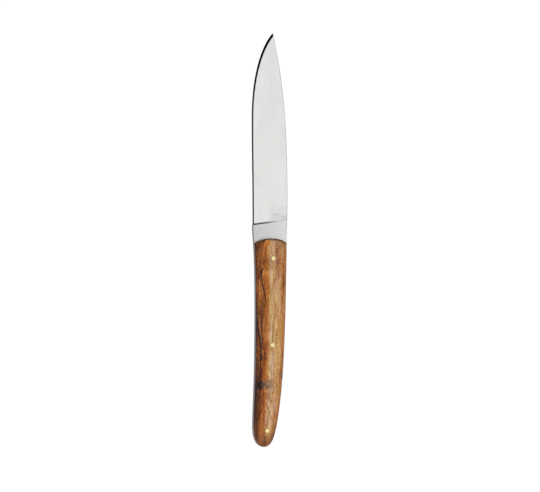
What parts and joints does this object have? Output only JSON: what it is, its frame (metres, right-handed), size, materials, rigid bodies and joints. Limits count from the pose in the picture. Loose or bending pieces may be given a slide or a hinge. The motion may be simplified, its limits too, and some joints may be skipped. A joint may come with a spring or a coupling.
{
  "type": "steak knife",
  "caption": "Full-tang steak knife: satin steel blade with a stepped ricasso, oval figured-wood scales held by brass through-pins, and a hooked, rounded butt.",
  "frame": {"origin": "middle of the knife's box, on the surface it lies on", "axes": "+Y along the knife towards the tip, +X across it towards the spine (the cutting edge faces -X), +Z out of the front face"},
  "size_m": [0.0202, 0.225, 0.0117],
  "materials": {
    "blade_steel": "fine satin brushed across the blade, bright polished sharpening bevel",
    "front_wood": "oiled and polished, figured olive-like grain with knots and dark veins",
    "back_wood": "oiled and polished, figured olive-like grain",
    "pin_brass": "polished flush with the wood"
  },
  "bodies": {
    "root": {"blade_and_tang": "blade_steel", "front_scale": "front_wood", "back_scale": "back_wood", "front_pin": "pin_brass", "middle_pin": "pin_brass", "butt_pin": "pin_brass"}
  },
  "joints": []
}
